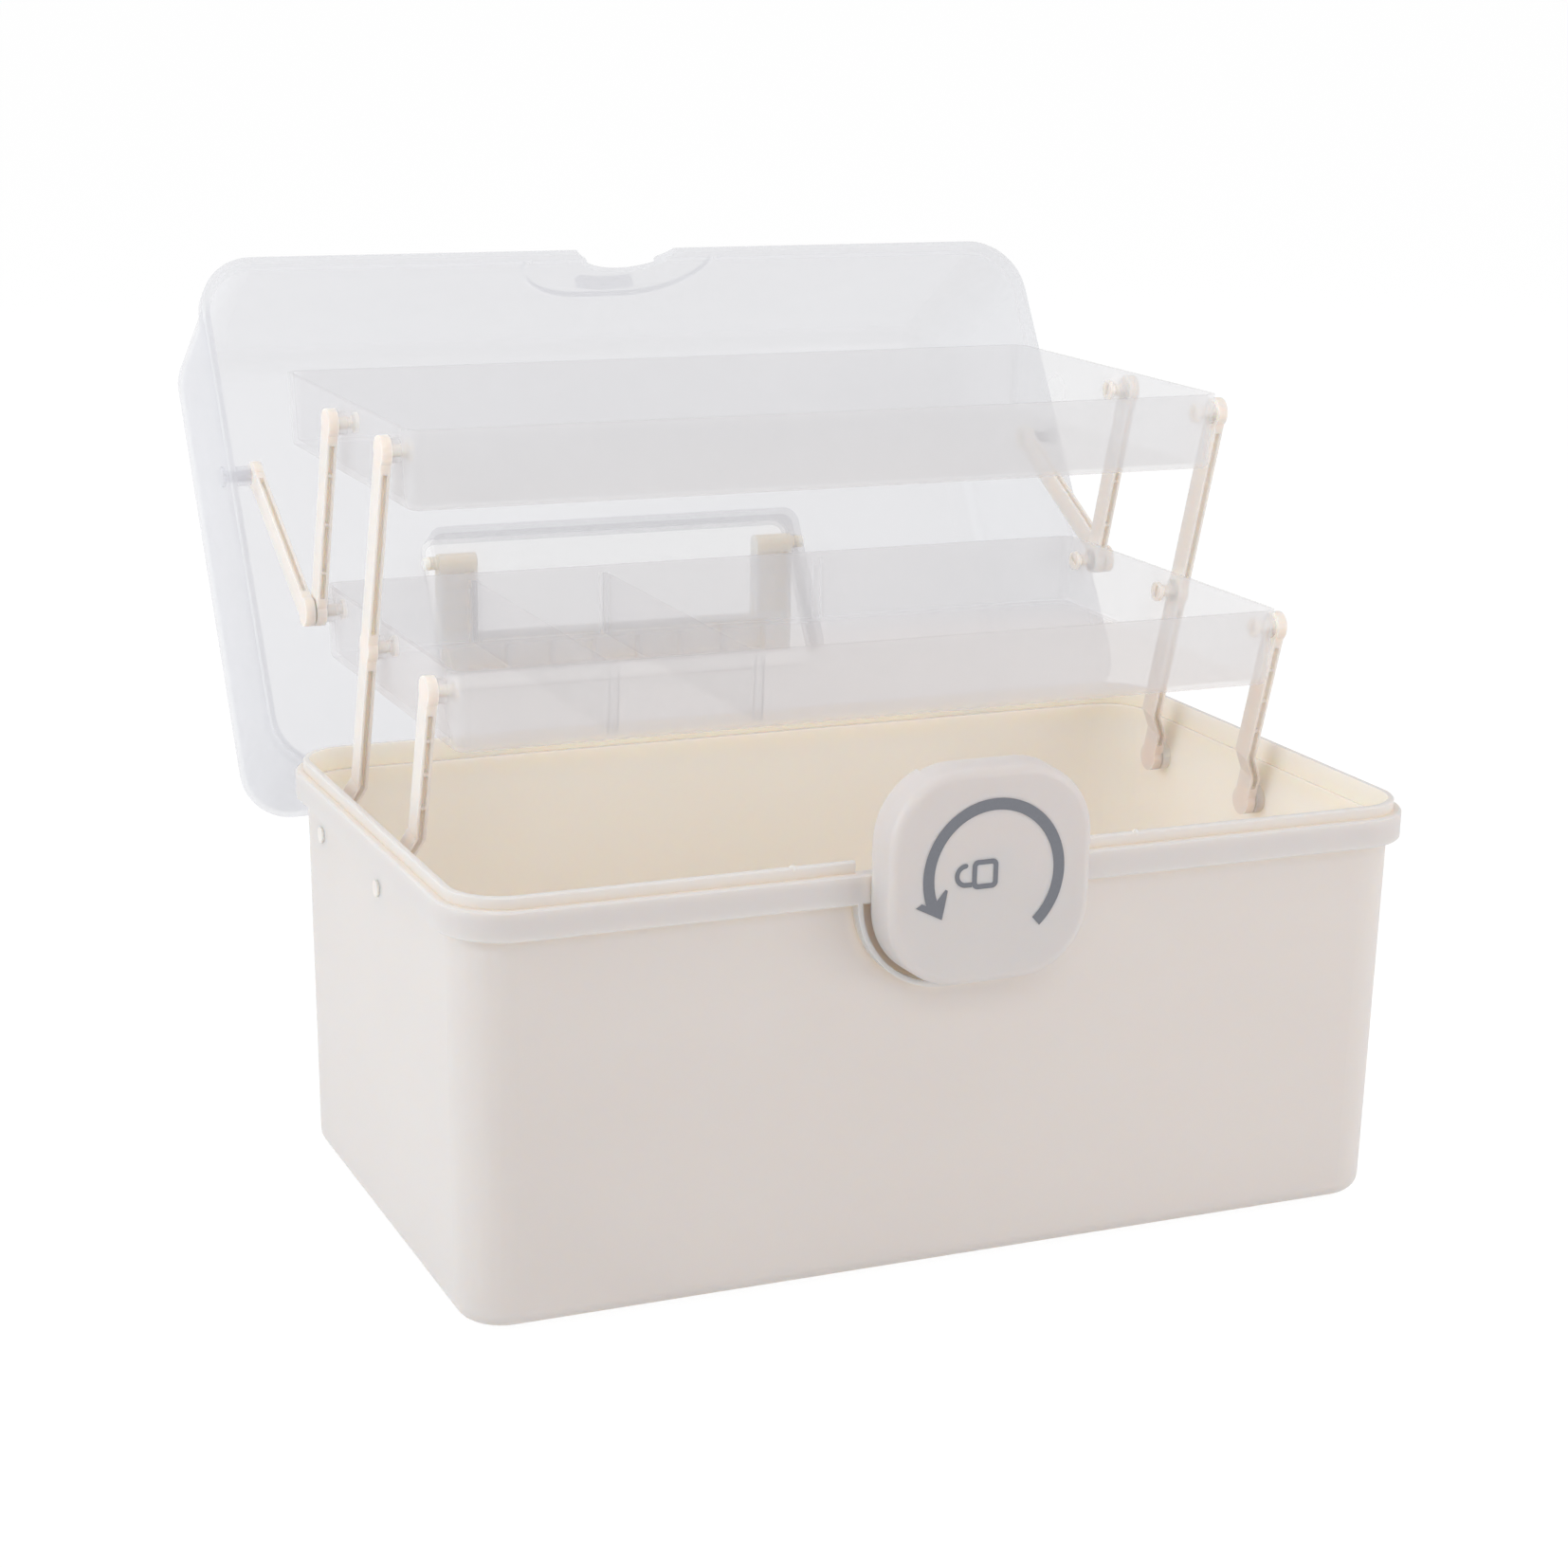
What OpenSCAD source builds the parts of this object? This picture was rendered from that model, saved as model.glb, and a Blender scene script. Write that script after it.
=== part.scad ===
// Three-tier cantilever medicine box, drawn open.
// Origin: centre of the base's footprint on the ground. X is the length, -Y the front, Z up.

/* [Base] */
// Length of the box over its rim band
box_length = 330; // [300:1:360]
// Depth of the box over its rim band
box_depth = 194.4; // [184:0.2:210]
// Height of the base from the ground to the top of its rim band
rim_height = 135.3; // [110:0.1:160]
// Corner radius of the rim band, seen from above
rim_corner = 20.7; // [16:0.1:26]
// Height of the rim band
band_height = 9.5; // [7:0.1:12]
// How far the end walls sit inside the rim band
end_inset = 3.5; // [3:0.1:5]
// How far the front and rear walls sit inside the rim band
front_inset = 4.6; // [3.5:0.1:6]
// Lean of the base's walls from top to bottom
wall_draft = 2.2; // [1:0.1:3]
// Wall thickness of the base
base_wall = 2.2; // [1.8:0.1:2.6]
// Radius of the rounded bottom edge
bottom_round = 6; // [4:0.5:8]
// Height of the foot ring
foot_height = 1.5; // [1:0.1:2.5]
// Width of the foot ring
foot_width = 3; // [2:0.5:5]
// How far the foot ring sits inside the bottom edge
foot_inset = 8.8; // [7:0.1:12]
// Height of the upstand that the lid closes over
lip_height = 3.6; // [2.5:0.1:4.5]
// Thickness of the upstand
lip_wall = 2; // [1.6:0.1:2.4]
// How far the upstand sits inside the rim band
lip_inset = 2.6; // [2.5:0.1:3.2]

/* [Lid] */
// Height of the closed lid above the rim
lid_height = 78; // [74:0.5:84]
// Wall thickness of the lid
lid_wall = 2; // [1.6:0.1:2.4]
// Height of the lid's own rim band
lid_band = 8; // [6:0.5:10]
// How far the lid's walls sit inside its band
lid_inset = 1.6; // [1.2:0.1:2]
// Lean of the lid's walls from rim to top
lid_draft = 1.5; // [0.5:0.1:2.5]
// Radius of the lid's top edge
lid_round = 12; // [9:0.5:16]
// How far the lid is opened, in degrees
lid_open = 122; // [115:0.5:124]
// Distance of the hinge axis behind the rim band
hinge_back = 1.3; // [1:0.1:1.8]
// Depth of the hinge axis below the rim
hinge_drop = 4.8; // [4:0.1:5.5]
// Radius of the hinge barrels
barrel_r = 2.6; // [2.3:0.1:3]
// Radius of the hinge pins
hinge_pin_r = 1.3; // [1:0.1:1.5]
// Distance of each hinge from the middle
hinge_x = 95; // [70:1:120]
// Distance of the link's pivot on the lid in front of the hinge
link_reach = 113.941; // [112:0.1:116]
// Length of a hinge's middle knuckle
knuckle = 12; // [10:0.5:16]
// Length of each side knuckle
side_knuckle = 9; // [7:0.5:12]
// Gap between knuckles
knuckle_gap = 0.3; // [0.2:0.05:0.5]

/* [Handle] */
// Half length of the handle over its legs
handle_half = 73; // [60:0.5:80]
// Width of each handle leg
leg_width = 15; // [12:0.5:18]
// Thickness of the handle
handle_thick = 7; // [5:0.1:8]
// Distance from the handle's pivot to the far edge of its grip
handle_reach = 44; // [38:0.5:46]
// Width of the grip
grip_width = 16; // [12:0.5:18]
// Depth of the recess in the lid's top
recess_depth = 12; // [10:0.1:12.5]
// Radius of the handle's pivot stubs
stub_r = 2.5; // [2:0.1:3]
// Handle's pivot on the closed lid, along Y
handle_y = -1.5; // [-6:0.5:4]
// Depth of the handle's pivot below the lid's top
handle_drop = 8; // [7:0.1:9]
// Gap between each end of the handle and the recess
handle_gap = 1.5; // [1:0.1:2.5]
// Room in the recess in front of the handle's pivot
recess_room = 10.5; // [9:0.5:14]
// Room in the recess behind the grip
recess_behind = 3.5; // [2.5:0.5:6]

/* [Trays] */
// Room between each end of a tray and the side of the rim band
tray_room = 19.7; // [19.5:0.1:24]
// Distance from a tray's front edge to its front pivot
tray_front = 10.2; // [9:0.1:12]
// Distance from the lower tray's rear pivot to its rear edge
tray_back = 11.3; // [9:0.1:12]
// Depth of the pivots below a tray's rim
pivot_down = 7.5; // [6.5:0.1:9]
// Height of a tray
tray_height = 25.7; // [22:0.1:27]
// Wall and floor thickness of a tray
tray_wall = 1.8; // [1.4:0.1:2.2]
// Corner radius of a tray
tray_corner = 6; // [4:0.5:8]
// Lean of the tray walls from rim to floor
tray_draft = 1.3; // [0.8:0.1:1.6]
// Thickness of a divider
divider_thick = 1.6; // [1.2:0.1:2]
// Positions of the divider slots along the lower tray
slot_a = -91.7; // [-100:0.1:-80]
slot_b = -43.1; // [-50:0.1:-36]
slot_c = 39.3; // [30:0.1:50]

/* [Arms] */
// Distance between neighbouring pivots of an arm
arm_length = 69.5; // [66:0.5:71]
// Width of an arm
arm_width = 8; // [7:0.1:9]
// Radius of an arm's eyes
eye_r = 5; // [4.6:0.1:5.4]
// Thickness of an arm
arm_thick = 3.4; // [3:0.1:3.4]
// Forward lean of the arms when the box is open, in degrees
arm_lean = 16.4; // [12:0.1:20]
// Forward lean of the arms when the box is closed, in degrees
arm_lean_closed = 62.5; // [60:0.1:64]
// How far the trays' rear pivots would sit behind the hinge with the arms upright
rear_set = 23.6; // [20:0.1:26]
// Depth of the base pivots below the rim
pivot_drop = 17.6; // [15:0.1:20]
// Distance from the front arm's pivots to the long arm's
front_pitch = 65.2; // [60:0.1:68]
// Distance from the long arm's pivots to the rear arm's
rear_pitch = 61.5; // [56:0.1:64]
// Radius of the pins that pass through the base's ends
base_pin_r = 2.6; // [2.2:0.1:3]
// Radius of the pins that pass through the tray ends
tray_pin_r = 2; // [1.6:0.1:2.4]
// Radius of the bosses around the pins on the trays' ends
tray_boss_r = 4; // [3.6:0.1:4.1]
// Radius of the split heads on the snap pins
pin_head_r = 3.4; // [3.2:0.1:3.8]
// Clearance of a pin in its hole
pin_clear = 0.05; // [0.02:0.01:0.08]

/* [Knob] */
// Half width of the knob
knob_half = 34.2; // [30:0.1:36]
// Corner radius of the knob's outline
knob_corner = 24; // [22:0.5:28]
// Thickness of the knob
knob_thick = 13.4; // [12:0.1:16]
// How far the collar behind the knob stands out past its sides
collar_step = 4; // [3.8:0.1:6]
// Corner radius of the collar
collar_corner = 29.7; // [28:0.1:32]
// Wall thickness of the collar
collar_wall = 1.6; // [1.4:0.1:2.4]
// Gap between the knob's rim and the rim bands
face_gap = 0.4; // [0.3:0.1:0.6]
// Depth of the knob's axis below the rim
knob_drop = 0.3; // [0:0.1:1]
// Wall thickness of the knob
knob_wall = 2.2; // [1.8:0.1:2.6]
// Distance of the axle's upright behind the rim band's face
tower_back = 3.8; // [3.7:0.1:4]
// Radius of the knob's axle
axle_r = 6; // [5:0.1:7]
// Radius of the knob's hub
hub_r = 8; // [7.5:0.1:9]
// Half width of the gap in the knob's rim
way_half = 20.3; // [17:0.1:22]
// Depth of the gap in the knob's rim
way_depth = 2; // [1.8:0.1:2.6]
// How far the keeper reaches into the knob
keeper_out = 1.4; // [1:0.1:1.5]
// Outer radius of the keeper around the knob's axis
keeper_r = 31; // [28:0.1:31.4]
// Radius of the notch in the lid over the knob's bearing
notch_r = 21.9; // [21:0.1:24]
// Depth of the notch's centre below the rim
notch_drop = 9.2; // [8:0.1:10]
// Half width of the upright that carries the knob's axle
tower_half = 16.5; // [14:0.5:18]

/* [Hidden] */
$fn = 64;
eps = 0.01;
half_a = box_length / 2;
half_b = box_depth / 2;
lip_top = rim_height + lip_height;
// base walls
body_a = half_a - end_inset;
body_b = half_b - front_inset;
body_r = rim_corner - end_inset;
band_low = rim_height - band_height;
floor_top = foot_height + base_wall + 0.3;
// hinge
hinge_y = half_b + hinge_back;
hinge_z = rim_height - hinge_drop;
// trays, drawn open
tray_a = half_a - tray_room;
tray_b = (tray_front + front_pitch + rear_pitch + tray_back) / 2;
step_y = arm_length * sin(arm_lean);
step_z = arm_length * cos(arm_lean);
// pivots as [y, z]
br = [hinge_y + rear_set - rear_pitch, rim_height - pivot_drop];
bf = [br[0] - front_pitch, br[1]];
lf = [bf[0] - step_y, bf[1] + step_z];
lm = [br[0] - step_y, br[1] + step_z];
lr = [lm[0] + rear_pitch, lm[1]];
uf = [lm[0] - step_y, lm[1] + step_z];
ur = [lr[0] - step_y, lr[1] + step_z];
lower_z = lf[1] + pivot_down - tray_height;
upper_z = uf[1] + pivot_down - tray_height;
lower_y = lf[0] - tray_front + tray_b;
upper_y = uf[0] - tray_front + tray_b;
// planes across the length
tray_gap = 2.7;
crank_low = 11;
crank_high = 19;
side_gap = 0.5;
arm_x = tray_a + tray_gap;
link_x = arm_x + arm_thick + side_gap;
crank_x = arm_x + arm_thick + 0.6;
boss_end = crank_x + arm_thick + 0.4;
// lid link: its pivot on the closed lid keeps one length to the tray, lid open and lid shut
shut = [br[0] + rear_pitch - arm_length * sin(arm_lean_closed) - hinge_y,
    br[1] + arm_length * cos(arm_lean_closed) - hinge_z];
opened = [lr[0] - hinge_y, lr[1] - hinge_z];
turned = [opened[0] * cos(lid_open) - opened[1] * sin(lid_open),
    opened[0] * sin(lid_open) + opened[1] * cos(lid_open)];
link_rise = ((shut * shut - opened * opened) / 2 + link_reach * (shut[0] - turned[0]))
    / (shut[1] - turned[1]);
link_y = hinge_y - link_reach;
link_z = hinge_z + link_rise;
link_open_y = hinge_y - link_reach * cos(lid_open) + link_rise * sin(lid_open);
link_open_z = hinge_z + link_reach * sin(lid_open) + link_rise * cos(lid_open);
link_length = norm([link_open_y - lr[0], link_open_z - lr[1]]);
link_angle = atan2(link_open_z - lr[1], link_open_y - lr[0]);
stud_r = tray_pin_r;
// lid sections
rim_fit = lip_inset - 0.4;
lid_a = half_a - lid_inset;
lid_b = half_b - lid_inset;
lid_r = rim_corner - lid_inset;
lid_top = rim_height + lid_height;
// handle
handle_z = lid_top - handle_drop;
recess_half = handle_half + handle_gap;
recess_mid = handle_y + (handle_reach + recess_behind - recess_room) / 2;
recess_b = (handle_reach + recess_behind + recess_room) / 2;
recess_r = 4;
handle_swing = lid_open - 90;
cell_x = 18;
cell_y = 8.2;
cell_rib = 1.6;
// knob; heights in its own frame are counted forward from its rim
knob_z = rim_height - knob_drop;
knob_back = -(half_b + face_gap);
collar_half = knob_half + collar_step;
tower_y = -(half_b - tower_back);
tower_wall = 2.5;
knob_face = 2.4;
clip_thick = 1.8;
clip_r = 10;
clip_y = tower_y + tower_wall + 0.9;
clip_low = knob_back - clip_y - clip_thick;
groove = 0.9;
keeper_wall = 3.5;
keeper_span = 44;
notch_z = rim_height - notch_drop;
snap_x = 58.5;
snap_r = 1.2;
past = 12;

cream = [0.94, 0.92, 0.89];
frost = [0.88, 0.88, 0.93, 0.5];

// A filled rounded rectangle seen from above. The child is its half section: x is the
// distance outward from the corner's centre, y is the height.
module rounded_solid(a, b, r, z0, z1) {
    for (k = [0 : 3]) {
        sx = (k == 0 || k == 3) ? 1 : -1;
        sy = (k < 2) ? 1 : -1;
        translate([sx * (a - r), sy * (b - r), 0])
            rotate([0, 0, 90 * k])
                rotate_extrude(angle = 90)
                    children();
    }
    for (s = [0, 180])
        rotate([0, 0, s])
            translate([a - r, 0, 0])
                rotate([90, 0, 0])
                    linear_extrude(height = 2 * (b - r), center = true)
                        children();
    for (s = [90, 270])
        rotate([0, 0, s])
            translate([b - r, 0, 0])
                rotate([90, 0, 0])
                    linear_extrude(height = 2 * (a - r), center = true)
                        children();
    translate([-(a - r), -(b - r), z0])
        cube([2 * (a - r), 2 * (b - r), z1 - z0]);
}

// Half section with one rounded lower edge: width w0 at the bottom, w1 at the top.
module bowl_section(w0, w1, z0, z1, r) {
    lean = atan((w1 - w0) / (z1 - z0));
    cx = w0 + (w1 - w0) * r / (z1 - z0) - r / cos(lean);
    polygon([[0, z0], [cx, z0], [cx, z0 + r], [cx + r * cos(lean), z0 + r - r * sin(lean)],
        [w1, z1], [0, z1]]);
    intersection() {
        translate([cx, z0 + r])
            circle(r = r);
        translate([cx, z0 - 1])
            square([r + 1, r + 1]);
    }
}

// The same section upside down, for a lid.
module dome_section(w_low, w_top, z0, z1, r) {
    translate([0, z0 + z1])
        mirror([0, 1])
            bowl_section(w_top, w_low, z0, z1, r);
}

// Half section of a band with small bevels on its outer edges.
module band_section(w, z0, z1, c) {
    polygon([[0, z0], [w - c, z0], [w, z0 + c], [w, z1 - c], [w - c, z1], [0, z1]]);
}

module bowl(a, b, r, z0, z1, draft, round_r) {
    rounded_solid(a, b, r, z0, z1)
        bowl_section(r - draft, r, z0, z1, round_r);
}

module slab(a, b, r, z0, z1) {
    translate([0, 0, z0])
        linear_extrude(height = z1 - z0) {
            square([2 * (a - r), 2 * b], center = true);
            square([2 * a, 2 * (b - r)], center = true);
            for (sx = [-1, 1], sy = [-1, 1])
                translate([sx * (a - r), sy * (b - r)])
                    circle(r = r);
        }
}

// A cylinder along X from x0 to x1 at [y, z].
module rod_x(x0, x1, p, r) {
    translate([x0, p[0], p[1]])
        rotate([0, 90, 0])
            cylinder(r = r, h = x1 - x0);
}

// A cylinder along Y from y0 to y1 on the knob's axis.
module knob_rod(y0, y1, r) {
    translate([0, y1, knob_z])
        rotate([90, 0, 0])
            cylinder(r = r, h = y1 - y0);
}

module both_ends() {
    children();
    mirror([1, 0, 0])
        children();
}

// Turns what is drawn on the closed lid to the open place.
module on_open_lid() {
    translate([0, hinge_y, hinge_z])
        rotate([-lid_open, 0, 0])
            translate([0, -hinge_y, -hinge_z])
                children();
}

// Stands a shape drawn on the ground, back down, on the knob's axis with its face to -Y.
module on_front() {
    translate([0, knob_back, knob_z])
        rotate([90, 0, 0])
            children();
}

module base_tub() {
    color(cream) {
        difference() {
            union() {
                bowl(body_a, body_b, body_r, foot_height, rim_height - 1, wall_draft, bottom_round);
                rounded_solid(half_a, half_b, rim_corner, band_low, rim_height)
                    band_section(rim_corner, band_low, rim_height, 0.6);
                difference() {
                    rounded_solid(half_a - lip_inset, half_b - lip_inset, rim_corner - lip_inset,
                        rim_height - 1, lip_top)
                        band_section(rim_corner - lip_inset, rim_height - 1, lip_top, 0.4);
                    front_block(collar_half, rim_height, lip_top + past);
                }
                intersection() {
                    collar(front_inset + base_wall / 2);
                    front_block(half_b, 0, rim_height - 1);
                }
                bearing_tower();
                for (s = [-1, 1], k = [-1, 1])
                    translate([s * hinge_x + k * (knuckle / 2 + knuckle_gap + side_knuckle / 2), 0, 0])
                        rod_x(-side_knuckle / 2, side_knuckle / 2, [hinge_y, hinge_z], barrel_r);
                both_ends()
                    translate([snap_x, -(half_b - lip_inset - 1), lip_top - 0.5])
                        sphere(r = snap_r);
                difference() {
                    slab(body_a - wall_draft - foot_inset, body_b - wall_draft - foot_inset,
                        body_r - foot_inset + 2, 0, foot_height + 1);
                    slab(body_a - wall_draft - foot_inset - foot_width,
                        body_b - wall_draft - foot_inset - foot_width,
                        body_r - foot_inset + 2 - foot_width, -1, foot_height);
                }
            }
            bowl(body_a - base_wall, body_b - base_wall, body_r - base_wall, floor_top,
                rim_height - 4, wall_draft, bottom_round - 2);
            slab(half_a - lip_inset - lip_wall, half_b - lip_inset - lip_wall,
                rim_corner - lip_inset - lip_wall, rim_height - 4 - eps, lip_top + 1);
            knob_rod(-half_b - past, -half_b + past, axle_r + pin_clear);
            for (s = [-1, 1]) {
                rod_x(s * hinge_x - knuckle - side_knuckle, s * hinge_x + knuckle + side_knuckle,
                    [hinge_y, hinge_z], hinge_pin_r + pin_clear);
                rod_x(s * hinge_x - knuckle / 2 - knuckle_gap, s * hinge_x + knuckle / 2 + knuckle_gap,
                    [hinge_y, hinge_z], barrel_r + 0.5);
            }
            both_ends()
                for (p = [bf, br])
                    rod_x(boss_end - 1, half_a + 5, p, base_pin_r + pin_clear);
        }
        both_ends()
            for (p = [bf, br])
                difference() {
                    rod_x(boss_end, body_a - base_wall + 0.8, p, eye_r);
                    rod_x(boss_end - 1, body_a + 1, p, base_pin_r + pin_clear);
                }
    }
}

// A block across the front wall, w to each side, between two heights.
module front_block(w, z0, z1) {
    translate([-w, -half_b - past, z0])
        cube([2 * w, 2.5 * past, z1 - z0]);
}

// The rounded ring around the knob, flush with the rim bands and as deep as asked.
module collar(deep) {
    on_front()
        difference() {
            slab(collar_half, collar_half, collar_corner, -face_gap - deep, -face_gap);
            slab(collar_half - collar_wall, collar_half - collar_wall, collar_corner - collar_wall,
                -face_gap - deep - 1, 1);
        }
}

// The upright on the front wall that carries the knob's axle.
module bearing_tower() {
    deep = 2 * past;
    difference() {
        translate([0, tower_y + tower_wall, 0])
            rotate([90, 0, 0])
                linear_extrude(height = tower_wall)
                    intersection() {
                        translate([-tower_half, rim_height - deep])
                            square([2 * tower_half, deep + notch_r]);
                        union() {
                            translate([0, notch_z])
                                circle(r = notch_r - 1);
                            translate([-tower_half, rim_height - deep])
                                square([2 * tower_half, deep - notch_drop]);
                        }
                    }
        knob_rod(-half_b - past, -half_b + past, axle_r + pin_clear);
    }
}

// The outer form of the closed lid above its rim band.
module lid_outside() {
    rounded_solid(lid_a, lid_b, lid_r, rim_height + 2, lid_top)
        dome_section(lid_r, lid_r - lid_draft, rim_height + 2, lid_top, lid_round);
}

// The outline of the handle's recess, grown by g, between two heights.
module recess_block(g, z0, z1) {
    translate([0, recess_mid, 0])
        slab(recess_half + g, recess_b + g, recess_r + g, z0, z1);
}

module lid_closed() {
    difference() {
        union() {
            difference() {
                union() {
                    rounded_solid(half_a, half_b, rim_corner, rim_height, rim_height + lid_band)
                        band_section(rim_corner, rim_height, rim_height + lid_band, 0.6);
                    lid_outside();
                }
                slab(half_a - rim_fit, half_b - rim_fit, rim_corner - rim_fit,
                    rim_height - 1, lip_top + 1);
                rounded_solid(lid_a - lid_wall, lid_b - lid_wall, lid_r - lid_wall,
                    rim_height + 2, lid_top - lid_wall)
                    dome_section(lid_r - lid_wall, lid_r - lid_wall - lid_draft,
                        rim_height + 2, lid_top - lid_wall, lid_round - lid_wall);
            }
            // collar above the knob, flush with the rim band
            intersection() {
                collar(lid_inset + lid_wall - 0.4);
                front_block(half_b, rim_height + lid_band / 2, lid_top);
            }
            // bosses for the lid links
            both_ends()
                rod_x(boss_end, lid_a - 0.5, [link_y, link_z], 3.5);
            // hinge knuckles
            for (s = [-1, 1])
                translate([s * hinge_x, 0, 0]) {
                    rod_x(-knuckle / 2, knuckle / 2, [hinge_y, hinge_z], barrel_r);
                    translate([-knuckle / 2, half_b + 0.2, hinge_z])
                        cube([knuckle, hinge_back + barrel_r - 0.2, hinge_drop + 6]);
                    translate([-knuckle / 2, half_b - 1.2, rim_height + 0.3])
                        cube([knuckle, 2, 5.7]);
                }
        }
        recess_block(lid_wall, lid_top - lid_wall - 1, lid_top + 1);
        translate([0, -half_b + past, notch_z])
            rotate([90, 0, 0])
                cylinder(r = notch_r, h = 2 * past);
        both_ends()
            rod_x(boss_end - 1, half_a + 3, [link_y, link_z], stud_r + pin_clear);
        for (s = [-1, 1])
            rod_x(s * hinge_x - knuckle, s * hinge_x + knuckle, [hinge_y, hinge_z],
                hinge_pin_r + pin_clear);
    }
}

module lid_shell() {
    color(frost)
        on_open_lid()
            lid_closed();
}

// The cup under the lid's top that takes the folded handle.
module handle_well() {
    color(frost)
        on_open_lid()
            difference() {
                recess_block(lid_wall, lid_top - recess_depth - lid_wall, lid_top);
                recess_block(0, lid_top - recess_depth, lid_top + 1);
                rod_x(-recess_half - lid_wall - 1, recess_half + lid_wall + 1,
                    [handle_y, handle_z], stub_r + pin_clear);
            }
}

// The curved rib on the lid's front that the turned knob holds down.
module lid_keeper() {
    color(frost)
        on_open_lid()
            difference() {
                translate([0, -(half_b - 6), knob_z])
                    rotate([90, 0, 0])
                        rotate([0, 0, 90 - keeper_span / 2])
                            rotate_extrude(angle = keeper_span)
                                translate([keeper_r - keeper_wall, 0])
                                    square([keeper_wall, 6 + face_gap + keeper_out]);
                lid_outside();
            }
}

module hinge_pins() {
    len = knuckle + 2 * knuckle_gap + 2 * side_knuckle + 1;
    color(cream)
        for (s = [-1, 1])
            rod_x(s * hinge_x - len / 2, s * hinge_x + len / 2, [hinge_y, hinge_z], hinge_pin_r);
}

// The handle lying flat, pivot on the X axis, grip towards +Y.
module handle_flat() {
    t = handle_thick / 2;
    difference() {
        union() {
            both_ends() {
                translate([handle_half - leg_width, 0, -t])
                    cube([leg_width, handle_reach - grip_width / 2, handle_thick]);
                rod_x(handle_half - leg_width, handle_half, [0, 0], t);
                rod_x(handle_half - 1, recess_half + lid_wall + 2, [0, 0], stub_r);
            }
            translate([-handle_half, handle_reach - grip_width, 0])
                rotate([90, 0, 90])
                    linear_extrude(height = 2 * handle_half)
                        grip_section();
        }
        both_ends()
            for (k = [0 : 2])
                translate([handle_half - leg_width + cell_rib, 2 * cell_rib + cell_y * k, -t - 1])
                    cube([leg_width - 2 * cell_rib, cell_y - 1.2, handle_thick - 1]);
        for (k = [-3 : 3])
            translate([(k - 0.5) * cell_x + cell_rib / 2, handle_reach - grip_width + 1.8, -t - 1])
                cube([cell_x - cell_rib, grip_width - 3.6, handle_thick - 1]);
    }
}

module grip_section() {
    r = 2.2;
    t = handle_thick / 2;
    translate([r, -t])
        square([grip_width - 2 * r, handle_thick]);
    translate([0, -t + r])
        square([grip_width, handle_thick - 2 * r]);
    for (u = [r, grip_width - r], v = [-t + r, t - r])
        translate([u, v])
            circle(r = r);
}

module handle() {
    color(cream)
        on_open_lid()
            translate([0, handle_y, handle_z])
                rotate([handle_swing, 0, 0])
                    handle_flat();
}

// A tray at the origin of its own rim centre, standing on z = 0.
module tray(pivots, slots) {
    difference() {
        union() {
            bowl(tray_a, tray_b, tray_corner, 0, tray_height, tray_draft, 2);
            both_ends()
                for (p = pivots)
                    rod_x(tray_a - tray_draft - 0.5, arm_x - 0.3, p, tray_boss_r);
        }
        bowl(tray_a - tray_wall, tray_b - tray_wall, tray_corner - tray_wall, tray_wall,
            tray_height + 1, tray_draft, 1);
        both_ends()
            for (p = pivots)
                rod_x(tray_a - past, arm_x + 1, p, tray_pin_r + pin_clear);
    }
    for (x = slots, s = [0, 180], e = [-1, 1])
        translate([x + e * (divider_thick / 2 + 0.15 + 0.6) - 0.6, 0, 0])
            rotate([90, 0, 90])
                linear_extrude(height = 1.2)
                    mirror([s / 180, 0])
                        guide_rib();
}

// Side view of one guide rib on the inside of a tray's rear wall.
module guide_rib() {
    y0 = tray_b - tray_draft - tray_wall;
    y1 = y0 + tray_draft * (tray_height - 3) / tray_height;
    polygon([[y0 - 1.6, 1], [y0 + 0.6, 1], [y1 + 0.6, tray_height - 2], [y1 - 0.4, tray_height - 2],
        [y1 - 1.6, tray_height - 4.4]]);
}

module lower_tray() {
    color(frost)
        translate([0, lower_y, lower_z])
            tray([[lf[0] - lower_y, lf[1] - lower_z], [lm[0] - lower_y, lm[1] - lower_z],
                [lr[0] - lower_y, lr[1] - lower_z]], [slot_a, slot_b, slot_c]);
}

module upper_tray() {
    color(frost)
        translate([0, upper_y, upper_z])
            tray([[uf[0] - upper_y, uf[1] - upper_z], [ur[0] - upper_y, ur[1] - upper_z]], []);
}

module divider(x) {
    top = tray_height - 2.4;
    b0 = tray_b - tray_wall - tray_draft - 0.2;
    b1 = b0 + tray_draft * (top - tray_wall) / tray_height;
    translate([x - divider_thick / 2, lower_y, lower_z])
        rotate([90, 0, 90])
            linear_extrude(height = divider_thick)
                polygon([[-b0 + 1.2, tray_wall], [b0 - 1.2, tray_wall], [b0, tray_wall + 1.2], [b1, top],
                    [-b1, top], [-b0, tray_wall + 1.2]]);
}

module divider_left() {
    color(frost)
        divider(slot_a);
}

module divider_middle() {
    color(frost)
        divider(slot_b);
}

// Flat outline of a straight arm from its first eye at 0, seen along X.
module arm_outline(eyes) {
    last = eyes[len(eyes) - 1];
    translate([-arm_width / 2, 0])
        square([arm_width, last]);
    for (s = eyes)
        translate([0, s])
            circle(r = eye_r);
}

// Edge section of an arm between x0 and x0 + t, cranked outward by c at its lower end.
module arm_edge(x0, t, c, s0, s1) {
    if (c > 0)
        polygon([[x0 + c, s0], [x0 + c + t, s0], [x0 + c + t, crank_low], [x0 + t, crank_high],
            [x0 + t, s1], [x0, s1], [x0, crank_high], [x0 + c, crank_low]]);
    else
        polygon([[x0, s0], [x0 + t, s0], [x0 + t, s1], [x0, s1]]);
}

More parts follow.
